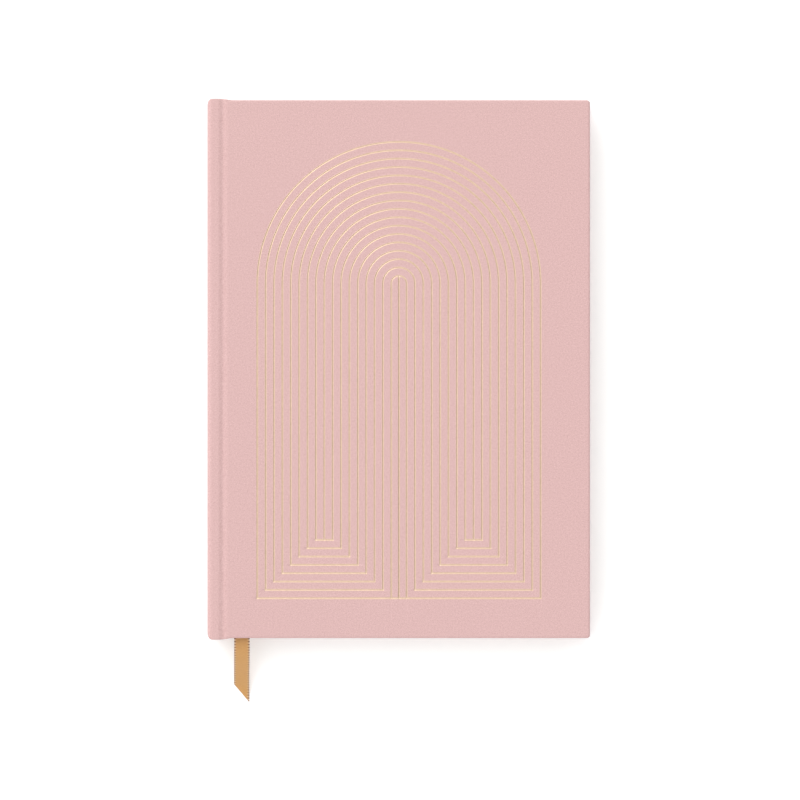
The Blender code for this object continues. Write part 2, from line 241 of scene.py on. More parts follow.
def makeWeaveGroup():
    # plain weave from two sine waves, one along Y and one along X plus Z, wobbled by noise, with soft
    # mottling
    group, start, end = newGroup(
        "plainWeave",
        [("Thread", "NodeSocketFloat", 0.4), ("Mottle", "NodeSocketFloat", 6.0)],
        [("Height", "NodeSocketFloat"), ("Shade", "NodeSocketFloat")],
    )
    place = group.nodes.new("ShaderNodeTexCoord")
    apart = group.nodes.new("ShaderNodeSeparateXYZ")
    wobble = group.nodes.new("ShaderNodeTexNoise")
    wobble.inputs["Scale"].default_value = 350
    group.links.new(place.outputs["Object"], wobble.inputs["Vector"])
    group.links.new(place.outputs["Object"], apart.inputs[0])
    across = mathNode(group, "ADD", apart.outputs["X"], apart.outputs["Z"])
    turns = mathNode(group, "DIVIDE", 2000 * math.pi, start.outputs["Thread"])
    jitter = mathNode(group, "MULTIPLY", wobble.outputs["Fac"], 2.6)
    warp = mathNode(group, "SINE", mathNode(group, "ADD", mathNode(group, "MULTIPLY", across, turns), jitter))
    weft = mathNode(
        group, "SINE", mathNode(group, "ADD", mathNode(group, "MULTIPLY", apart.outputs["Y"], turns), jitter)
    )
    both = mathNode(group, "MULTIPLY", warp, weft)
    fibre = group.nodes.new("ShaderNodeTexNoise")
    fibre.inputs["Scale"].default_value = 2600
    fibre.inputs["Detail"].default_value = 3
    group.links.new(place.outputs["Object"], fibre.inputs["Vector"])
    height = mathNode(group, "ADD", mathNode(group, "MULTIPLY", both, 0.35), fibre.outputs["Fac"])
    mottle = group.nodes.new("ShaderNodeTexNoise")
    mottle.inputs["Detail"].default_value = 4
    mottle.inputs["Roughness"].default_value = 0.65
    group.links.new(place.outputs["Object"], mottle.inputs["Vector"])
    group.links.new(mathNode(group, "MULTIPLY", start.outputs["Mottle"], 100), mottle.inputs["Scale"])
    shade = mathNode(group, "ADD", mathNode(group, "MULTIPLY", mottle.outputs["Fac"], 0.5),
                     mathNode(group, "MULTIPLY", height, 0.5))
    group.links.new(height, end.inputs["Height"])
    group.links.new(shade, end.inputs["Shade"])
    return group


weaveGroup = makeWeaveGroup()


def newMaterial(name):
    material = bpy.data.materials.new(name)
    material.use_nodes = True
    return material, material.node_tree, material.node_tree.nodes["Principled BSDF"]


def ramp(tree, value, stops):
    node = tree.nodes.new("ShaderNodeValToRGB")
    node.color_ramp.elements[0].position = stops[0][0]
    node.color_ramp.elements[0].color = (*stops[0][1], 1)
    node.color_ramp.elements[1].position = stops[-1][0]
    node.color_ramp.elements[1].color = (*stops[-1][1], 1)
    for place, color in stops[1:-1]:
        node.color_ramp.elements.new(place).color = (*color, 1)
    tree.links.new(value, node.inputs[0])
    return node.outputs[0]


def addBump(tree, shader, height, strength, distance):
    bump = tree.nodes.new("ShaderNodeBump")
    bump.inputs["Strength"].default_value = strength
    bump.inputs["Distance"].default_value = distance
    tree.links.new(height, bump.inputs["Height"])
    tree.links.new(bump.outputs[0], shader.inputs["Normal"])


def objectNoise(tree, scale, detail=3.0, stretch=None):
    place = tree.nodes.new("ShaderNodeTexCoord")
    noise = tree.nodes.new("ShaderNodeTexNoise")
    noise.inputs["Scale"].default_value = scale
    noise.inputs["Detail"].default_value = detail
    vector = place.outputs["Object"]
    if stretch is not None:
        mapping = tree.nodes.new("ShaderNodeMapping")
        mapping.inputs["Scale"].default_value = stretch
        tree.links.new(vector, mapping.inputs["Vector"])
        vector = mapping.outputs[0]
    tree.links.new(vector, noise.inputs["Vector"])
    return noise.outputs["Fac"]


clothLook = {
    "dark": (0.505, 0.310, 0.296), "light": (0.720, 0.494, 0.486),
    "thread": 0.42, "mottle": 13.0, "rough": 0.88,
}


def makeCloth():
    material, tree, shader = newMaterial("roseBookCloth")
    weave = tree.nodes.new("ShaderNodeGroup")
    weave.node_tree = weaveGroup
    weave.inputs["Thread"].default_value = clothLook["thread"]
    weave.inputs["Mottle"].default_value = clothLook["mottle"]
    color = ramp(tree, weave.outputs["Shade"], [(0.30, clothLook["dark"]), (0.72, clothLook["light"])])
    tree.links.new(color, shader.inputs["Base Color"])
    shader.inputs["Roughness"].default_value = clothLook["rough"]
    shader.inputs["Sheen Weight"].default_value = 0.12
    shader.inputs["Sheen Roughness"].default_value = 0.5
    shader.inputs["Specular IOR Level"].default_value = 0.25
    addBump(tree, shader, weave.outputs["Height"], 0.35, 0.00012)
    return material


foilLook = {"dark": (0.61, 0.445, 0.322), "light": (0.69, 0.510, 0.380), "rough": 0.36, "metal": 0.85}


def makeFoil():
    # satin metal film with fine grain from the cloth under it
    material, tree, shader = newMaterial("goldFoil")
    color = ramp(tree, objectNoise(tree, 900, 4), [(0.3, foilLook["dark"]), (0.7, foilLook["light"])])
    tree.links.new(color, shader.inputs["Base Color"])
    shader.inputs["Metallic"].default_value = foilLook["metal"]
    rough = tree.nodes.new("ShaderNodeMapRange")
    rough.inputs["To Min"].default_value = foilLook["rough"] - 0.05
    rough.inputs["To Max"].default_value = foilLook["rough"] + 0.08
    tree.links.new(objectNoise(tree, 1500, 2), rough.inputs["Value"])
    tree.links.new(rough.outputs[0], shader.inputs["Roughness"])
    addBump(tree, shader, objectNoise(tree, 2400, 3), 0.10, 0.00003)
    return material


def makePaper(name, dark, light, flecks=500):
    # uncoated paper: cloudy formation, fine fibres
    material, tree, shader = newMaterial(name)
    cloud = mathNode(tree, "MULTIPLY", objectNoise(tree, 120, 4), 0.5)
    fibre = mathNode(tree, "MULTIPLY", objectNoise(tree, flecks, 5, (1, 0.35, 1)), 0.5)
    color = ramp(tree, mathNode(tree, "ADD", cloud, fibre), [(0.3, dark), (0.7, light)])
    tree.links.new(color, shader.inputs["Base Color"])
    shader.inputs["Roughness"].default_value = 0.82
    shader.inputs["Specular IOR Level"].default_value = 0.3
    addBump(tree, shader, objectNoise(tree, 3000, 3), 0.15, 0.00004)
    return material


def makeBandMaterial():
    # wrapped silk: slanting turns of two colours along the band
    material, tree, shader = newMaterial("wrappedBand")
    place = tree.nodes.new("ShaderNodeTexCoord")
    apart = tree.nodes.new("ShaderNodeSeparateXYZ")
    tree.links.new(place.outputs["Object"], apart.inputs[0])
    slant = mathNode(tree, "ADD", apart.outputs["Z"], mathNode(tree, "MULTIPLY", apart.outputs["X"], 0.5))
    wave = mathNode(tree, "SINE", mathNode(tree, "MULTIPLY", slant, 2 * math.pi / (1.6 * mm)))
    stripe = mathNode(tree, "ADD", mathNode(tree, "MULTIPLY", wave, 0.5), 0.5)
    color = ramp(tree, stripe, [(0.45, (0.80, 0.70, 0.58)), (0.55, (0.58, 0.33, 0.32))])
    tree.links.new(color, shader.inputs["Base Color"])
    shader.inputs["Roughness"].default_value = 0.6
    addBump(tree, shader, objectNoise(tree, 2500, 2, (1, 1, 0.2)), 0.3, 0.00005)
    return material


ribbonLook = {
    "satin": (0.505, 0.247, 0.068), "pale": (0.605, 0.326, 0.104), "stitch": (0.17, 0.06, 0.018),
    "between": (0.86, 0.60, 0.36), "ribs": 28, "edgeFrom": 0.39, "stitchFrom": -0.2,
}


def makeRibbonMaterial():
    # satin: fine ribs across; a dotted line of dark and pale stitches along both edges, from the UV map
    # (u across 0 to 1, v along in widths)
    material, tree, shader = newMaterial("goldSatin")
    place = tree.nodes.new("ShaderNodeUVMap")
    place.uv_map = "ribbon"
    apart = tree.nodes.new("ShaderNodeSeparateXYZ")
    tree.links.new(place.outputs["UV"], apart.inputs[0])
    fromMiddle = mathNode(tree, "ABSOLUTE", mathNode(tree, "SUBTRACT", apart.outputs["X"], 0.5))
    ribTurn = mathNode(tree, "MULTIPLY", apart.outputs["Y"], 2 * math.pi * ribbonLook["ribs"])
    rib = mathNode(tree, "SINE", ribTurn)
    body = ramp(
        tree,
        mathNode(tree, "ADD", mathNode(tree, "MULTIPLY", objectNoise(tree, 1800, 3, (1, 0.3, 1)), 0.7),
                 mathNode(tree, "MULTIPLY", rib, 0.12)),
        [(0.1, ribbonLook["satin"]), (0.6, ribbonLook["pale"])],
    )
    turns = ribbon["width"] / ribbon["picot"]
    beat = mathNode(tree, "SINE", mathNode(tree, "MULTIPLY", apart.outputs["Y"], 2 * math.pi * turns))
    inEdge = mathNode(tree, "GREATER_THAN", fromMiddle, ribbonLook["edgeFrom"])
    color = body
    for test, tint in (("GREATER_THAN", "stitch"), ("LESS_THAN", "between")):
        mask = mathNode(tree, "MULTIPLY", inEdge, mathNode(tree, test, beat, ribbonLook["stitchFrom"]))
        mix = tree.nodes.new("ShaderNodeMix")
        mix.data_type = "RGBA"
        tree.links.new(mask, mix.inputs[0])
        tree.links.new(color, mix.inputs[6])
        mix.inputs[7].default_value = (*ribbonLook[tint], 1)
        color = mix.outputs[2]
    tree.links.new(color, shader.inputs["Base Color"])
    shader.inputs["Roughness"].default_value = 0.42
    shader.inputs["Sheen Weight"].default_value = 0.2
    addBump(tree, shader, rib, 0.25, 0.00004)
    return material


clothMaterial = makeCloth()
foilMaterial = makeFoil()
paperMaterial = makePaper("ivoryPaper", (0.60, 0.555, 0.475), (0.70, 0.66, 0.58))
endpaperMaterial = makePaper("endpaper", (0.63, 0.585, 0.505), (0.71, 0.67, 0.595), 700)
boardMaterial = makePaper("greyboard", (0.34, 0.32, 0.28), (0.48, 0.46, 0.41), 300)
mullMaterial = makePaper("cottonMull", (0.56, 0.52, 0.44), (0.68, 0.645, 0.56), 1800)
threadMaterial = makePaper("linenThread", (0.60, 0.56, 0.475), (0.71, 0.675, 0.59), 1500)
bandMaterial = makeBandMaterial()
ribbonMaterial = makeRibbonMaterial()
print("materials made")


# case cloth
case = {
    "inset": 1.5 * mm, "round": 0.9 * mm, "side": 3.55 * mm, "lip": 3.5 * mm, "start": 13.2 * mm,
    "grooveAt": 7.6 * mm, "grooveWidth": 5.2 * mm, "grooveDepth": 0.55 * mm, "spineRound": 2.5 * mm,
    "thick": 0.3 * mm, "easeFrom": 5.6 * mm, "easeOver": 7.2 * mm, "cornerRound": 2.4 * mm,
    "footRise": 0.9 * mm, "underRound": 0.3 * mm,
    "turnAt": (3.0 * mm, 6.0 * mm, 9.0 * mm, 11.6 * mm),  # how far the ends turn in along the joint
    "turnDeep": (1.3 * mm, 2.3 * mm, 3.0 * mm, 3.55 * mm),
}
pattern = {
    "pitch": 4.03 * mm, "first": 3.68 * mm, "arches": 17, "line": 0.92 * mm, "deep": 0.24 * mm,
    "middleX": 0.15 * mm, "archY": 41.2 * mm, "footY": -110.2 * mm, "footPitch": 4.01 * mm, "legs": 8,
    "splitY": -70 * mm, "arcSteps": 84, "legCentres": (8, 26), "rim": 0.10 * mm, "filmLift": 0.012 * mm,
}
leftX, rightX = spineX + case["start"], foreX - case["inset"]
highY = boardHalf - case["inset"]


def uprightAt(k):
    # x of upright number k from the middle one: the first stands at the first arch's radius, then even steps
    k = np.asarray(k, float)
    return np.sign(k) * (pattern["first"] + (np.abs(k) - 1) * pattern["pitch"]) * (np.abs(k) > 0.5)


def lineDepth(away):
    # a stamped line is a round valley: a half cosine from the rim down to the middle
    share = np.clip(away / (pattern["line"] / 2), 0, 1)
    return -pattern["deep"] * (1 + np.cos(math.pi * share ** 1.15)) / 2


def lineSamples():
    # offsets across one stamped line: a support edge outside each rim, then even steps over the valley
    half = pattern["line"] / 2
    return np.concatenate([[-half - pattern["rim"]], np.linspace(-half, half, 5), [half + pattern["rim"]]])


def legSegments():
    # for each upright line: where it ends; and the level bars: (level, first x, last x)
    footY, step, last = pattern["footY"], pattern["footPitch"], pattern["arches"]
    ends = np.full(2 * last + 1, footY)
    bars = [(footY, uprightAt(-last), uprightAt(last))]
    for centre in pattern["legCentres"]:
        for j in range(1, pattern["legs"]):
            level = footY + (pattern["legs"] - j) * step
            ends[centre - j] = ends[centre + j] = level
            bars.append((level, uprightAt(centre - j - last), uprightAt(centre + j - last)))
        ends[centre] = footY + (pattern["legs"] - 1) * step
    return ends, bars


def stampedHeight(x, y):
    # depth of the lower field: the nearest of the uprights that reach this far and the bars
    ends, bars = legSegments()
    away = np.full(x.shape, 1.0)
    half = pattern["line"] / 2
    for index, end in enumerate(ends):
        lineX = uprightAt(index - pattern["arches"])
        past = np.maximum(end - half - y, 0)
        away = np.minimum(away, np.abs(x - lineX) + np.where(past > 0, 1.0, 0.0))
    for level, first, last in bars:
        past = np.maximum(np.maximum(first - half - x, x - last - half), 0)
        away = np.minimum(away, np.abs(y - level) + np.where(past > 1e-9, 1.0, 0.0))
    return lineDepth(away)


def patternField():
    # the stamped top as four grids that share their edge points: the arch rings with their uprights, the
    # strip between the innermost uprights, its half disc, and the lower field of bars
    radii = uprightAt(np.arange(1, pattern["arches"] + 1))
    first, half = pattern["first"], pattern["line"] / 2
    centreR = first - half
    offsets = lineSamples()
    rings = (radii[:, None] + offsets[None, :]).ravel()
    rings = rings[rings >= centreR - 1e-9]
    outer = rings[-1]
    cy, cutY = pattern["archY"], pattern["splitY"]
    left, right = leftX - pattern["middleX"], rightX - pattern["middleX"]
    corners = [math.atan2(highY - cy, right), math.atan2(highY - cy, left)]
    centreEdges = np.arccos(np.concatenate([offsets, [0.0]]) / centreR)
    angles = np.linspace(math.pi, 0, pattern["arcSteps"] + 1)
    angles = np.concatenate([angles, corners, centreEdges])
    angles = np.unique(np.round(angles, 9))[::-1]
    uprights = np.linspace(cutY, cy, 5)
    dx, dy = np.cos(angles), np.sin(angles)
    dy[0] = dy[-1] = 0.0
    # border point along each ray
    with np.errstate(divide="ignore", invalid="ignore"):
        toSide = np.where(dx > 0, right / dx, np.where(dx < 0, left / dx, np.inf))
        toTop = np.where(dy > 1e-9, (highY - cy) / dy, np.inf)
    reach = np.minimum(toSide, toTop)
    blend = np.linspace(0, 1, 6)[1:]
    rows = []
    heights = []
    for r in rings:
        rows.append(np.concatenate([
            np.stack([np.full(5, -r), uprights], 1)[:-1],
            np.stack([r * dx, cy + r * dy], 1),
            np.stack([np.full(5, r), uprights[::-1]], 1)[1:],
        ]))
        nearest = np.min(np.abs(r - radii))
        level = np.full(len(rows[-1]), lineDepth(nearest))
        if r <= first:
            centreLine = lineDepth(np.abs(rows[-1][:, 0]))
            level = np.minimum(level, np.where(rows[-1][:, 1] > cy, centreLine, 0.0))
        heights.append(level)
    for b in blend:
        rows.append(np.concatenate([
            np.stack([np.full(5, -outer + (left + outer) * b), uprights], 1)[:-1],
            np.stack([dx * (outer + (reach - outer) * b), cy + dy * (outer + (reach - outer) * b)], 1),
            np.stack([np.full(5, outer + (right - outer) * b), uprights[::-1]], 1)[1:],
        ]))
        heights.append(np.zeros(len(rows[-1])))
    ringGrid = (np.array(rows), np.array(heights))
    # strip between the innermost uprights, then the half disc
    columns = centreR * dx
    centreLevel = lineDepth(np.abs(columns))
    strip = np.stack(np.broadcast_arrays(columns[None, :], uprights[:, None]), -1)
    lift = np.linspace(0, 1, 4)[:, None] * (centreR * dy)[None, :]
    disc = np.stack(np.broadcast_arrays(columns[None, :], cy + lift), -1)
    stripGrid = (strip, np.broadcast_to(centreLevel, strip.shape[:2]))
    discGrid = (disc, np.broadcast_to(centreLevel, disc.shape[:2]))
    # lower field
    x = np.concatenate([
        -outer + (left + outer) * blend[::-1], -rings[::-1], columns[1:-1], rings,
        outer + (right - outer) * blend,
    ])
    levels = pattern["footY"] + pattern["footPitch"] * np.arange(pattern["legs"])
    y = np.concatenate([[cutY, -highY, -highY + 6 * mm], *[level + offsets for level in levels]])
    y = np.sort(np.unique(np.round(y, 9)))[::-1]
    field = np.stack(np.meshgrid(x, y), -1)
    fieldGrid = (field, stampedHeight(field[..., 0], field[..., 1]))
    shift = np.array([pattern["middleX"], 0.0])
    return [(place + shift, height) for place, height in (ringGrid, stripGrid, discGrid, fieldGrid)]


def plainField():
    # an unstamped top: one even grid
    x = np.linspace(leftX, rightX, 13)
    y = np.linspace(-highY, highY, 19)
    field = np.stack(np.meshgrid(x, y), -1)
    return [(field, np.zeros(field.shape[:2]))]


def fieldParts(grids, level):
    parts = []
    for place, height in grids:
        rows, cols = height.shape
        verts = np.dstack([place, level + height]).reshape(-1, 3)
        parts.append((verts, gridFaces(rows, cols)))
    return parts


def filmParts(grids, level):
    # the stamped film: the same grids a hair higher, only the faces with two corners or more in a valley
    parts = []
    for place, height in grids:
        rows, cols = height.shape
        verts = np.dstack([place, level + height + pattern["filmLift"]]).reshape(-1, 3)
        faces = gridFaces(rows, cols)
        deep = (height < -pattern["deep"] * 0.1).ravel()
        faces = faces[deep[faces].sum(1) >= 2]
        used = np.unique(faces)
        remap = np.zeros(len(verts), int)
        remap[used] = np.arange(len(used))
        parts.append((verts[used], remap[faces]))
    return parts


def edgeProfile(side):
    # across a cover's edge: (outward, drop) from the inset line over a quarter round, down the side, under a
    # quarter round and in along the turn-in
    r, low, inset, lip = case["round"], case["underRound"], case["inset"], case["lip"]
    a = np.linspace(0, math.pi / 2, 6)
    over = np.stack([inset - r + r * np.sin(a), r - r * np.cos(a)], 1)
    under = np.stack([inset - low + low * np.cos(a), side - low + low * np.sin(a)], 1)
    inward = np.array([[inset - lip * 0.5, side], [inset - lip, side]])
    return np.vstack([[0.0, 0.0], over, under, inward])


def borderValues(grids, axis, value):
    # sorted places of the field's points along one border
    found = np.concatenate([
        g.reshape(-1, 2)[np.abs(g.reshape(-1, 2)[:, axis] - value) < 1e-7][:, 1 - axis] for g, _ in grids
    ])
    return np.unique(np.round(found, 8))


def skirtParts(grids, level, side):
    # edges of the cover along head, fore edge and tail, with round corners: every border point carries the
    # edge profile outwards
    profile = edgeProfile(case["side"])
    out, drop = profile[:, 0], profile[:, 1] * side
    xTop = borderValues(grids, 1, highY)
    xLow = borderValues(grids, 1, -highY)
    yFore = borderValues(grids, 0, rightX)
    fan = np.linspace(0, math.pi / 2, 7)[1:-1]
    base = np.concatenate([
        np.stack([xLow, np.full_like(xLow, -highY)], 1),
        np.tile([[rightX, -highY]], (len(fan), 1)),
        np.stack([np.full_like(yFore, rightX), yFore], 1),
        np.tile([[rightX, highY]], (len(fan), 1)),
        np.stack([xTop, np.full_like(xTop, highY)], 1)[::-1],
    ])
    way = np.concatenate([
        np.tile([[0.0, -1.0]], (len(xLow), 1)),
        np.stack([np.sin(fan), -np.cos(fan)], 1),
        np.tile([[1.0, 0.0]], (len(yFore), 1)),
        np.stack([np.cos(fan), np.sin(fan)], 1),
        np.tile([[0.0, 1.0]], (len(xTop), 1)),
    ])
    corner = np.sign(np.round(base, 6)) * (np.abs(np.abs(base[:, 1]) - highY) < 1e-7)[:, None]
    corner = corner * (np.abs(base[:, 0] - rightX) < 1e-7)[:, None]
    inward = np.where(corner.any(1)[:, None], corner, way)
    move = np.maximum(out, 0)[None, :, None] * way[:, None, :]
    move = move + np.minimum(out, 0)[None, :, None] * inward[:, None, :]
    plan = base[:, None, :] + move
    height = np.broadcast_to(level - drop, plan.shape[:2])
    verts = np.dstack([plan, height]).reshape(-1, 3)
    return [(verts, gridFaces(len(base), len(out)))]


def halfHeightAt(s):
    # half the cloth's height: the spine's, easing down past the groove to the boards' on a cosine, less a
    # quarter round at the spine's corners
    share = np.clip((s - case["easeFrom"]) / case["easeOver"], 0, 1)
    r = case["cornerRound"]
    corner = r - np.sqrt(np.maximum(r * r - np.maximum(r - s, 0) ** 2, 0))
    return boardHalf + (spineHalf - boardHalf) * (1 + np.cos(math.pi * share)) / 2 - corner


def jointProfile(foot):
    # (s, height over the middle) from the foot of the spine face over the edge, shoulder and groove
    r, top = case["spineRound"], midZ
    a = np.linspace(0, math.pi / 2, 12)
    face = np.stack([np.zeros(4), np.linspace(foot, top - r, 5)[:-1]], 1)
    edge = np.stack([r - r * np.cos(a), top - r + r * np.sin(a)], 1)
    middle, wide = case["grooveAt"], case["grooveWidth"]
    s = np.linspace(middle - wide / 2, middle + wide / 2, 25)
    wave = (1 + np.cos(2 * math.pi * (s - middle) / wide)) / 2
    groove = np.stack([s, top - case["grooveDepth"] * wave ** 1.3], 1)
    last = np.linspace(s[-1], case["start"], 7)[1:]
    return np.vstack([face, edge, groove, np.stack([last, np.full(len(last), top)], 1)])


def jointParts(yFlat, foot, side):
    # cloth from the spine face to the field: the joint profile carried along Y, with both ends rolled inward
    line = jointProfile(foot)
    along = np.gradient(line, axis=0)
    normal = np.stack([-along[:, 1], along[:, 0]], 1)
    normal /= np.linalg.norm(normal, axis=1)[:, None]
    # past the spine's edge the ends roll straight down
    straight = np.clip((line[:, 0:1] - 3 * mm) / (1.5 * mm), 0, 1)
    normal = normal * (1 - straight) + np.array([0, 1]) * straight
    normal /= np.linalg.norm(normal, axis=1)[:, None]
    deep = np.interp(line[:, 0], case["turnAt"], case["turnDeep"])
    profile = edgeProfile(case["side"])
    share = np.clip(profile[:, 1] / case["side"], 0, 1)
    half = halfHeightAt(line[:, 0])
    scale = (half - case["inset"]) / highY
    middle = yFlat[None, :] * scale[:, None]
    cols = []
    for sign in (-1, 1):
        y = sign * ((half - case["inset"])[:, None] + profile[None, 1:, 0])
        drop = deep[:, None] * share[None, 1:]
        block = np.stack([
            line[:, 0:1] - normal[:, 0:1] * drop, y, line[:, 1:2] - normal[:, 1:2] * drop,
        ], -1)
        cols.append(block[:, ::-1] if sign < 0 else block)
    flat = np.stack(np.broadcast_arrays(line[:, 0:1], middle, line[:, 1:2]), -1)
    grid = np.concatenate([cols[0], flat, cols[1]], 1)
    verts = grid.reshape(-1, 3).copy()
    verts[:, 0] += spineX
    verts[:, 2] = midZ + side * verts[:, 2]
    return [(verts, gridFaces(grid.shape[0], grid.shape[1]))]


def makeCoverCloth(name, side, stamped):
    grids = patternField() if stamped else plainField()
    level = midZ + side * midZ
    foot = frontHinge - midZ + case["footRise"]
    yFlat = borderValues(grids, 0, leftX)
    parts = fieldParts(grids, level) + skirtParts(grids, level, side) + jointParts(yFlat, foot, side)
    piece = addPiece(name, parts, clothMaterial, 2e-7, (0, 0, side), 40)
    thicken(piece, case["thick"])
    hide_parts(name.replace("Cloth", "_cloth"))
    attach(piece, "front_cover" if side > 0 else "back_cover")
    return grids


grids = makeCoverCloth("frontCloth", 1, True)
film = addPiece("goldLines", filmParts(grids, topZ), foilMaterial, 2e-7, (0, 0, 1), 30)
thicken(film, 0.02 * mm)
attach(film, "front_cover")
makeCoverCloth("backCloth", -1, False)
print("case cloth made")


# spine cloth: parts split at the folds
def spineColumn(name, low, high, material, s, thick, half, bodies, count=24):
    # a strip of one spine layer between two levels, following one body, or left unattached where it spans two
    z = np.linspace(low, high, count)
    path = np.stack([np.full(count, spineX + s + thick / 2), z], 1)
    y = np.linspace(-half, half, 25)
    part = slab(path, thick, y)
    piece = addPiece(name, [part], material, 0, None, 40)
    if len(bodies) == 1:
        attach(piece, bodies[0])
    else:
        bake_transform(piece)
    return piece


bend = 0.45 * mm  # half the length over which a layer turns
spineParts = [
    ("spineClothHinge", frontHinge - bend, frontHinge + case["footRise"], ["front_pages", "front_cover"]),
    ("spineClothFront", frontFold + bend, frontHinge - bend, ["front_pages"]),
    ("spineClothFold", frontFold - bend, frontFold + bend, ["core", "front_pages"]),
    ("spineClothMiddle", backFold + bend, frontFold - bend, ["core"]),
    ("spineClothLowFold", backFold - bend, backFold + bend, ["back_pages", "core"]),
    ("spineClothBack", backHinge + bend, backFold - bend, ["back_pages"]),
    ("spineClothLowHinge", backHinge - case["footRise"], backHinge + bend, ["back_cover", "back_pages"]),
]
for name, low, high, bodies in spineParts:
    half = spineHalf - case["cornerRound"]
    piece = spineColumn(name, low, high, clothMaterial, 0.0, case["thick"], half, bodies)
    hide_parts("spine_cloth")

inner = [
    ("spineCard", "spine_card", boardMaterial, "greyboard", 0.75 * mm, 0.5 * mm, 129.2 * mm),
    ("spineLining", "spine_lining", paperMaterial, "ivory_paper", 1.5 * mm, 0.2 * mm, 127 * mm),
    ("mullCloth", "mull", mullMaterial, "mull", 1.95 * mm, 0.2 * mm, 115 * mm),
]
split = 0.15 * mm
levels = [
    ("Front", frontFold + split, frontHinge - 0.3 * mm, "front_pages"),
    ("Middle", backFold + split, frontFold - split, "core"),
    ("Back", backHinge + 0.3 * mm, backFold - split, "back_pages"),
]
for label, node, material, slot, s, thick, half in inner:
    for place, low, high, body in levels:
        piece = spineColumn(label + place, low, high, material, s, thick, half, [body], 4)
        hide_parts(node)
print("spine made")


# boards and endpapers
def makeBoard(name, node, body):
    # a board cut from thick greyboard: a slab with its ends drawn in by a small round
    low, high = boxOf(node)
    r = 0.25 * mm
    x = np.concatenate([[low[0]], [low[0] + r], np.linspace(low[0] + 10 * mm, high[0] - 10 * mm, 6),
                        [high[0] - r], [high[0]]])
    path = np.stack([x, np.full(len(x), (low[2] + high[2]) / 2)], 1)
    part = slab(path, high[2] - low[2], np.linspace(low[1], high[1], 9))
    piece = addPiece(name, [part], boardMaterial, 0, None, 30)
    edge = piece.modifiers.new("worn edge", "BEVEL")
    edge.width = r
    edge.segments = 2
    edge.limit_method = "ANGLE"
    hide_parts(node)
    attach(piece, body)


makeBoard("frontBoard", "front_board", "front_cover")
makeBoard("backBoard", "back_board", "back_cover")

endpaper = {
    "thick": 0.2 * mm, "tuck": 0.55 * mm, "tipped": 9.0 * mm, "strip": 0.12 * mm, "reach": 0.18 * mm,
}


def makeEndpapers(word, side):
    # pastedown on the board; a folded hinge strip, left unattached; the free flyleaf
    pages, cover, leaf = f"{word}_pages", f"{word}_cover", f"{word}_flyleaf"
    low, high = boxOf(f"{word}_pastedown")
    pasteZ = (low[2] + high[2]) / 2
    x = np.concatenate([
        np.linspace(blockX, blockX + 12 * mm, 14), np.linspace(blockX + 20 * mm, high[0], 12),
    ])
    y = np.linspace(low[1], high[1], 13)
    part = slab(np.stack([x, np.full(len(x), pasteZ)], 1), endpaper["thick"], y)
    piece = addPiece(f"{word}Pastedown", [part], endpaperMaterial, 0, None, 40)
    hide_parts(f"{word}_pastedown")
    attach(piece, cover)
    low, high = boxOf(f"{word}_flyleaf")
    leafZ = (low[2] + high[2]) / 2
    x = np.concatenate([
        np.linspace(blockX, blockX + 24 * mm, 26), np.linspace(blockX + 32 * mm, high[0], 14),
    ])
    y = np.linspace(low[1], high[1], 13)
    part = slab(np.stack([x, np.full(len(x), leafZ)], 1), endpaper["thick"], y)
    piece = addPiece(f"{word}Flyleaf", [part], endpaperMaterial, 0, None, 40)
    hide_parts(f"{word}_flyleaf")
    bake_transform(piece)
    # hinge strip: out along the flyleaf's level, round the tuck beside the spine cloth, back along the
    # pastedown
    a = np.linspace(-math.pi / 2, math.pi / 2, 15)
    r = (pasteZ - leafZ) * side / 2
    tuckX = spineX + endpaper["tuck"] + r
    bendPath = np.stack([tuckX - r * np.cos(a), (pasteZ + leafZ) / 2 + side * r * np.sin(a)], 1)
    inX = np.linspace(blockX + 2.5 * mm, tuckX, 12)[:-1]
    path = np.vstack([
        np.stack([inX, np.full(11, leafZ)], 1), bendPath, np.stack([inX[::-1], np.full(11, pasteZ)], 1),
    ])
    strip = slab(path, endpaper["strip"], y)
    piece = addPiece(f"{word}HingeStrip", [strip], endpaperMaterial, 0, None, 60)
    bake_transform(piece)


makeEndpapers("front", 1)
makeEndpapers("back", -1)
print("boards and endpapers made")


# sections of folded leaves
leaves = {"perSection": 16, "thick": 0.094 * mm, "trim": 0.16 * mm, "seed": 7}


def makeSections():
    # each section is eight folded sheets nested in each other: a sheet's path runs in from the fore edge,
    # round the fold and out again; ends and fore edge vary by a trim's unevenness
    draw = np.random.default_rng(leaves["seed"])
    bodyOf = {1: "front_pages", 8: "back_pages"}
    for number in range(1, 9):
        low, high = boxOf(f"section_{number}")
        sheets = leaves["perSection"] // 2
        pitch = (high[2] - low[2]) / leaves["perSection"]
        middle = (low[2] + high[2]) / 2
        parts = []
        for k in range(sheets):
            radius = pitch * (sheets - k - 0.5)
            fold = low[0] + 0.05 * mm + pitch * k * 0.9
            a = np.linspace(math.pi / 2, 3 * math.pi / 2, 9)
            r = min(radius, 0.75 * mm)
            turn = np.stack([fold + r + r * np.cos(a), middle + radius * np.sin(a)], 1)
            out = high[0] - draw.uniform(0, leaves["trim"], 2)
            near, far = low[0] + 3 * mm, low[0] + 9 * mm
            upper, lower = middle + radius, middle - radius
            path = np.vstack([
                [[out[0], upper], [far, upper], [near, upper]],
                turn,
                [[near, lower], [far, lower], [out[1], lower]],
            ])
            ends = draw.uniform(0, leaves["trim"], 2)
            parts.append(slab(path, leaves["thick"], [low[1] + ends[0], 0.0, high[1] - ends[1]]))
        piece = addPiece(f"leaves{number}", parts, paperMaterial, 0, None, 40)
        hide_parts(f"section_{number}")
        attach(piece, bodyOf.get(number, "core"))


makeSections()


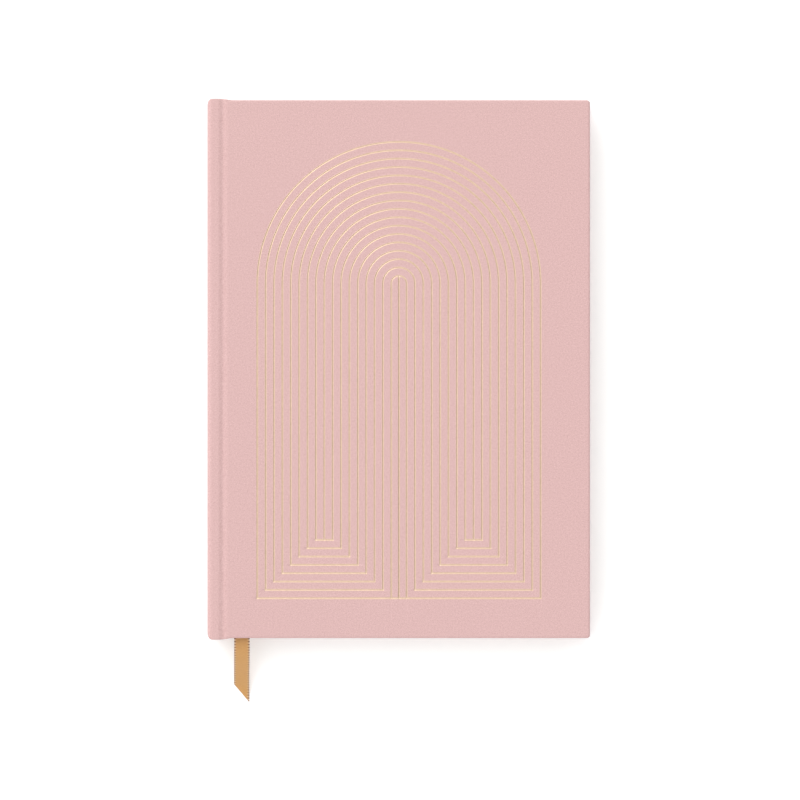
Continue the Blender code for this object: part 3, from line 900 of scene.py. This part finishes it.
# gutter strips: the leaf glued across each fold
gutter = {"gap": 0.16 * mm, "tuck": 0.45 * mm, "thick": 0.1 * mm, "reach": 0.12 * mm}


def makeGutter(name, foldZ, side):
    # the strip's path runs out to the fold, round a half circle and back
    a = np.linspace(-math.pi / 2, math.pi / 2, 15)
    r = gutter["gap"]
    tuckX = spineX + gutter["tuck"] + r
    turn = np.stack([tuckX - r * np.cos(a), foldZ + side * r * np.sin(a)], 1)
    inX = np.linspace(blockX + 4 * mm, tuckX, 16)[:-1]
    path = np.vstack([
        np.stack([inX, np.full(15, foldZ - side * r)], 1), turn,
        np.stack([inX[::-1], np.full(15, foldZ + side * r)], 1),
    ])
    strip = slab(path, gutter["thick"], np.linspace(-pageHalf, pageHalf, 13))
    piece = addPiece(name, [strip], paperMaterial, 0, None, 60)
    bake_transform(piece)


makeGutter("frontGutter", frontFold - 0.02 * mm, 1)
makeGutter("backGutter", backFold + 0.02 * mm, -1)
print("text block made")


# head and tail bands
band = {"turn": 0.32 * mm, "ridge": 0.07 * mm}


def bandPart(name, node, low, high, body):
    # a wrapped cord: an ellipse carried along Z whose radius swells once a turn of thread, closed at both
    # ends
    a, b = boxOf(node)
    centre, size = (a + b) / 2, (b - a) / 2
    z = np.linspace(low, high, max(8, int((high - low) / (band["turn"] / 6))))
    angle = np.linspace(0, 2 * math.pi, 24, endpoint=False)
    turned = 2 * math.pi * z[:, None] / band["turn"] + angle
    swell = 1 - band["ridge"] / size[0] * (0.5 - 0.5 * np.cos(turned))
    ends = np.clip(np.minimum(z - low, high - z) / (0.1 * mm), 0.02, 1)[:, None] ** 0.5
    x = centre[0] + size[0] * swell * ends * np.cos(angle)
    y = centre[1] + size[1] * swell * ends * np.sin(angle)
    verts = np.stack([x, y, np.broadcast_to(z[:, None], x.shape)], -1).reshape(-1, 3)
    faces = gridFaces(len(z), 24, closed=True)
    piece = addPiece(name, [(verts, faces)], bandMaterial, 0, None, 60)
    closeEnds(piece)
    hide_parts(node)
    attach(piece, body)


for end in ("head", "tail"):
    blockLow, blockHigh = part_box(f"{end}_band")[0][2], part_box(f"{end}_band")[1][2]
    bandPart(f"{end}BandFront", f"{end}_band", frontFold + split, blockHigh, "front_pages")
    bandPart(f"{end}BandMiddle", f"{end}_band", backFold + split, frontFold - split, "core")
    bandPart(f"{end}BandBack", f"{end}_band", blockLow, backFold - split, "back_pages")


# sewing thread
thread = {"radius": 0.11 * mm, "swell": 0.25, "turn": 1.2 * mm, "step": 0.25 * mm}


def makeThreads():
    # two-ply thread across the folds at each station: a round section whose radius and place turn along Z
    for number in range(1, 6):
        node = f"sewing_thread_{number}"
        a, b = boxOf(node)
        for place, low, high, body in levels:
            low, high = max(low, a[2]), min(high, b[2])
            z = np.linspace(low, high, max(6, int((high - low) / thread["step"])))
            angle = np.linspace(0, 2 * math.pi, 10, endpoint=False)
            turned = 2 * (angle - z[:, None] * 2 * math.pi / thread["turn"])
            r = thread["radius"] * (1 + thread["swell"] * np.cos(turned))
            x = (a[0] + b[0]) / 2 + r * np.cos(angle)
            y = (a[1] + b[1]) / 2 + r * np.sin(angle)
            verts = np.stack([x, y, np.broadcast_to(z[:, None], x.shape)], -1).reshape(-1, 3)
            piece = addPiece(f"thread{number}{place}", [(verts, gridFaces(len(z), 10, True))],
                             threadMaterial, 0, None, 60)
            closeEnds(piece)
            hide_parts(node)
            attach(piece, body)


makeThreads()
print("bands and thread made")


# ribbon
def makeRibbon():
    # a band carried along the route: across it a thin closed outline with a scalloped picot at each edge,
    # its length measured along the route, and a slanting cut at the free end
    line = ribbonRoute()
    steps = np.linalg.norm(np.diff(line, axis=0), axis=1)
    length = np.concatenate([[0], np.cumsum(steps)])
    fine = np.arange(0, length[-1], ribbon["picot"] / 6)
    fine = np.append(fine, length[-1])
    line = np.stack([np.interp(fine, length, line[:, k]) for k in range(3)], 1)
    along = np.gradient(line, axis=0)
    along /= np.linalg.norm(along, axis=1)[:, None]
    up = np.stack([np.zeros(len(line)), -along[:, 2], along[:, 1]], 1) * -1
    up[:, 2] = np.abs(up[:, 2])
    up /= np.linalg.norm(up, axis=1)[:, None]
    u = np.array([0, 0.03, 0.07, 0.3, 0.5, 0.7, 0.93, 0.97, 1.0])
    scallop = ribbon["scallop"] * (0.5 + 0.5 * np.sin(2 * math.pi * fine / ribbon["picot"]))
    half = ribbon["width"] / 2 - ribbon["scallop"] + scallop
    edge = np.abs(u - 0.5) > 0.42
    thick = np.where(edge, ribbon["thick"] * 0.55, ribbon["thick"] * 0.4)
    thick[[0, -1]] = ribbon["thick"] * 0.2
    across = (u[None, :] - 0.5) * 2 * half[:, None]
    # the cut: every column ends on the slanting line
    over = line[-1, 1] + ribbon["cut"] * (1 - u[None, :])
    top = np.empty((len(line), len(u), 3))
    top[..., 0] = line[:, 0:1] + across
    top[..., 1] = line[:, 1:2]
    top[..., 2] = line[:, 2:3]
    clipped = top[..., 1] < over
    levelAt = np.interp(-over[0], -line[:, 1], line[:, 2])
    top[..., 1] = np.where(clipped, np.broadcast_to(over, clipped.shape), top[..., 1])
    top[..., 2] = np.where(clipped, np.broadcast_to(levelAt, clipped.shape), top[..., 2])
    upper = top + up[:, None, :] * thick[None, :, None]
    lower = top - up[:, None, :] * thick[None, :, None]
    ring = np.concatenate([upper, lower[:, ::-1]], 1)
    cols = ring.shape[1]
    verts = ring.reshape(-1, 3)
    faces = gridFaces(len(line), cols, closed=True)
    k = np.arange(len(u) - 1)
    cap = np.stack([k, k + 1, cols - 2 - k, cols - 1 - k], 1)
    faces = np.vstack([faces, cap, cap[:, ::-1] + (len(line) - 1) * cols])
    piece = addPiece("satinRibbon", [(verts, faces)], ribbonMaterial, 0, None, 50)
    layer = piece.data.uv_layers.new(name="ribbon")
    index = np.empty(len(piece.data.loops), np.int32)
    piece.data.loops.foreach_get("vertex_index", index)
    uAll = np.tile(np.concatenate([u, u[::-1]]), len(line))
    vAll = np.repeat(fine / ribbon["width"], cols)
    layer.data.foreach_set("uv", np.stack([uAll[index], vAll[index]], 1).astype(np.float32).ravel())
    shape = bmesh.new()
    shape.from_mesh(piece.data)
    bmesh.ops.remove_doubles(shape, verts=shape.verts, dist=1e-6)
    bmesh.ops.dissolve_degenerate(shape, edges=shape.edges, dist=1e-7)
    bmesh.ops.recalc_face_normals(shape, faces=shape.faces)
    shape.to_mesh(piece.data)
    shape.free()
    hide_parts("ribbon_marker", "ribbon_tail")
    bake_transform(piece)


makeRibbon()
print("ribbon made")


# floor and light
stage = {
    "floorGlow": 0.19, "keyTurn": 128, "keyLift": 56, "keyAway": 4.0, "keySize": 3.0, "keyPower": 42,
    "skyTurn": 160, "skyLift": 31, "skyDim": 0.17, "skyBright": 1.25, "skyFrom": -0.65, "skyTo": 0.25,
}


def directionOf(turn, lift):
    # unit vector from a turn about Z and a lift off the floor, in radians
    return math.cos(lift) * math.cos(turn), math.cos(lift) * math.sin(turn), math.sin(lift)


def makeStage():
    verts = np.array([[-6, -6, -0.0002], [6, -6, -0.0002], [6, 6, -0.0002], [-6, 6, -0.0002]])
    mesh = buildMesh("floor", verts, np.array([[0, 1, 2, 3]]))
    material, tree, shader = newMaterial("whiteFloor")
    shader.inputs["Base Color"].default_value = (0.94, 0.94, 0.94, 1)
    shader.inputs["Roughness"].default_value = 0.9
    shader.inputs["Emission Color"].default_value = (1, 1, 1, 1)
    shader.inputs["Emission Strength"].default_value = stage["floorGlow"]
    mesh.materials.append(material)
    floor = bpy.data.objects.new("floor", mesh)
    bpy.context.scene.collection.objects.link(floor)
    light = bpy.data.objects.new("keyLight", bpy.data.lights.new("keyLight", "AREA"))
    light.data.shape = "DISK"
    light.data.size = stage["keySize"]
    light.data.energy = stage["keyPower"]
    turn, lift = math.radians(stage["keyTurn"]), math.radians(stage["keyLift"])
    light.location = np.array(directionOf(turn, lift)) * stage["keyAway"]
    light.rotation_euler = (math.pi / 2 - lift, 0, turn + math.pi / 2)
    bpy.context.scene.collection.objects.link(light)
    world = bpy.data.worlds.new("studio")
    world.use_nodes = True
    tree = world.node_tree
    tree.nodes["Background"].inputs["Color"].default_value = (1, 1, 1, 1)
    # a bright room that dims towards the far side of the sky's bright direction
    turn, lift = math.radians(stage["skyTurn"]), math.radians(stage["skyLift"])
    toward = tree.nodes.new("ShaderNodeVectorMath")
    toward.operation = "DOT_PRODUCT"
    toward.inputs[1].default_value = directionOf(turn, lift)
    tree.links.new(tree.nodes.new("ShaderNodeTexCoord").outputs["Generated"], toward.inputs[0])
    dim = tree.nodes.new("ShaderNodeMapRange")
    dim.interpolation_type = "SMOOTHSTEP"
    for label, value in (
        ("From Min", "skyFrom"), ("From Max", "skyTo"), ("To Min", "skyDim"), ("To Max", "skyBright"),
    ):
        dim.inputs[label].default_value = stage[value]
    tree.links.new(toward.outputs["Value"], dim.inputs["Value"])
    tree.links.new(dim.outputs["Result"], tree.nodes["Background"].inputs["Strength"])
    bpy.context.scene.world = world
    bpy.context.scene.view_settings.view_transform = "Standard"


makeStage()
